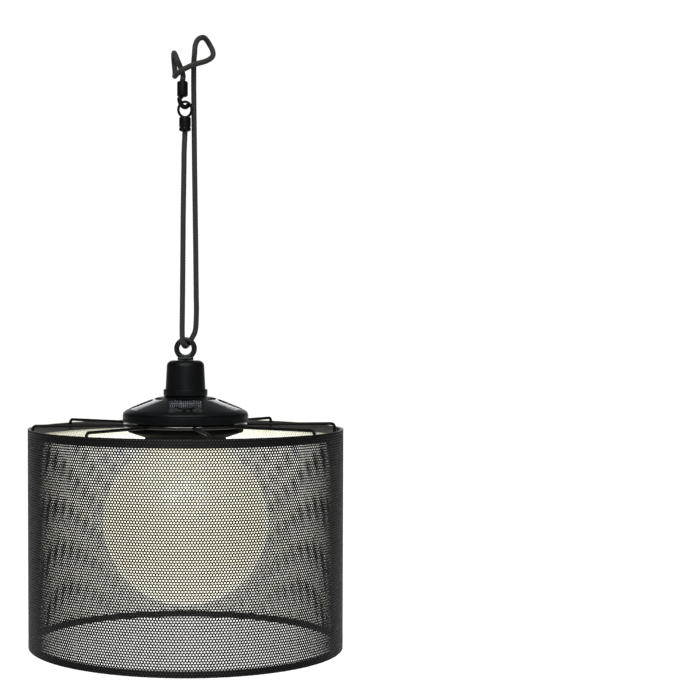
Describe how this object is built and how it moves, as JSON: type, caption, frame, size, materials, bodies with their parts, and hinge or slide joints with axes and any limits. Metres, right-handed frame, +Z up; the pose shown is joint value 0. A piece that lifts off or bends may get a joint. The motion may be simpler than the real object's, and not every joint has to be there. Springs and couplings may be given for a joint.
{
  "type": "hanging solar lantern",
  "caption": "Hanging solar lantern: a globe lamp inside a perforated drum shade, under a domed solar cap, hung from a branch on an elastic cord with a hook and an eye.",
  "frame": {"origin": "centre of the branch that the cord is hitched round, on the lantern's axis", "axes": "+Z up along the lantern's axis, -Y towards the front, +X to the right; the branch runs in the XZ plane, 27 degrees up towards +X"},
  "size_m": [0.305, 0.305, 0.5906],
  "materials": {
    "black_plastic": "moulded, satin",
    "cord_sheath": "woven sheath over rubber",
    "zinc_steel": "zinc plated",
    "solar_cover": "clear, glossy",
    "solar_cell": "dark blue cell with fine silver lines",
    "seal_rubber": "matte",
    "white_plastic": "satin",
    "inner_plastic": "satin",
    "battery_wrap": "printed shrink wrap over a steel can",
    "circuit_board": "solder mask",
    "led_lens": "clear epoxy, warm white",
    "cream_plastic": "translucent, satin",
    "painted_steel": "black, satin gloss"
  },
  "bodies": {
    "hanger": {"bungee_cord": "cord_sheath", "hook_fitting": "black_plastic", "eye_fitting": "black_plastic"},
    "lamp": {"hanger_eye": "black_plastic", "eye_washer": "zinc_steel", "eye_nut": "zinc_steel", "neck_housing": "black_plastic", "neck_nut": "black_plastic", "cap_dome": "black_plastic", "solar_cover_front": "solar_cover", "solar_cover_right": "solar_cover", "solar_cover_rear_right": "solar_cover", "solar_cover_rear_left": "solar_cover", "solar_cover_left": "solar_cover", "solar_cell_front": "solar_cell", "solar_cell_right": "solar_cell", "solar_cell_rear_right": "solar_cell", "solar_cell_rear_left": "solar_cell", "solar_cell_left": "solar_cell", "cap_base": "black_plastic", "cap_seal": "seal_rubber", "dome_screw_1": "zinc_steel", "dome_screw_2": "zinc_steel", "dome_screw_3": "zinc_steel", "dome_screw_4": "zinc_steel", "dome_screw_5": "zinc_steel", "light_tray": "white_plastic", "tray_screw_1": "zinc_steel", "tray_screw_2": "zinc_steel", "tray_screw_3": "zinc_steel", "circuit_board": "circuit_board", "led_lamp": "led_lens", "switch_body": "zinc_steel", "battery_holder": "inner_plastic", "contact_plus": "zinc_steel", "contact_spring": "zinc_steel", "battery": "battery_wrap", "globe_collar": "black_plastic"},
    "globe": {"globe": "cream_plastic"},
    "shade": {"shade_mesh": "painted_steel", "top_hoop": "painted_steel", "bottom_hoop": "painted_steel", "shade_hub": "painted_steel", "spoke_1": "painted_steel", "spoke_2": "painted_steel", "spoke_3": "painted_steel", "spoke_4": "painted_steel", "spoke_5": "painted_steel", "spoke_6": "painted_steel", "spoke_7": "painted_steel", "spoke_8": "painted_steel"},
    "battery_door": {"battery_door": "white_plastic"},
    "switch_knob": {"switch_knob": "inner_plastic"}
  },
  "joints": [
    {"name": "lamp_swing", "type": "hinge", "parent": "hanger", "child": "lamp", "pos_m": [0, 0, -0.2766], "axis": [0, 1, 0], "range_deg": [-20, 20]},
    {"name": "globe_twist", "type": "hinge", "parent": "lamp", "child": "globe", "pos_m": [0, 0, -0.448], "axis": [0, 0, 1], "range_deg": [0, 40]},
    {"name": "shade_turn", "type": "hinge", "parent": "lamp", "child": "shade", "pos_m": [0, 0, -0.356], "axis": [0, 0, 1], "continuous": true},
    {"name": "battery_door_swing", "type": "hinge", "parent": "lamp", "child": "battery_door", "pos_m": [0, 0.0172, -0.3606], "axis": [1, 0, 0], "range_deg": [0, 95]},
    {"name": "switch_slide", "type": "slide", "parent": "lamp", "child": "switch_knob", "axis": [1, 0, 0], "range_m": [0, 0.003]}
  ]
}
